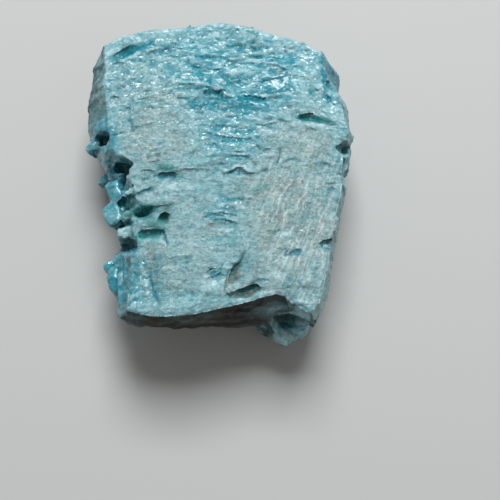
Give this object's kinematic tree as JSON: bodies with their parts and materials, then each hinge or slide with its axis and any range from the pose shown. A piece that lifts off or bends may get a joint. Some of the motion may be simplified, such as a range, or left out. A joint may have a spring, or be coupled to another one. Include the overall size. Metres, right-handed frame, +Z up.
{
  "type": "rough apatite",
  "caption": "Hand specimen of rough blue-green apatite: a block of upright cleavage plates, broken level on top, with teeth and slots on one side and a low lobe at one corner.",
  "frame": {"origin": "middle of the stone's box, at the level that it lies on", "axes": "+Z up out of the broken top, +Y to the rounded end across the plates, +X along the plates, away from the toothed side"},
  "size_m": [0.0252, 0.0304, 0.0123],
  "materials": {
    "apatite": "broken, mostly matte, with glassy blue-green patches"
  },
  "bodies": {
    "root": {"apatite_crystal": "apatite"}
  },
  "joints": []
}
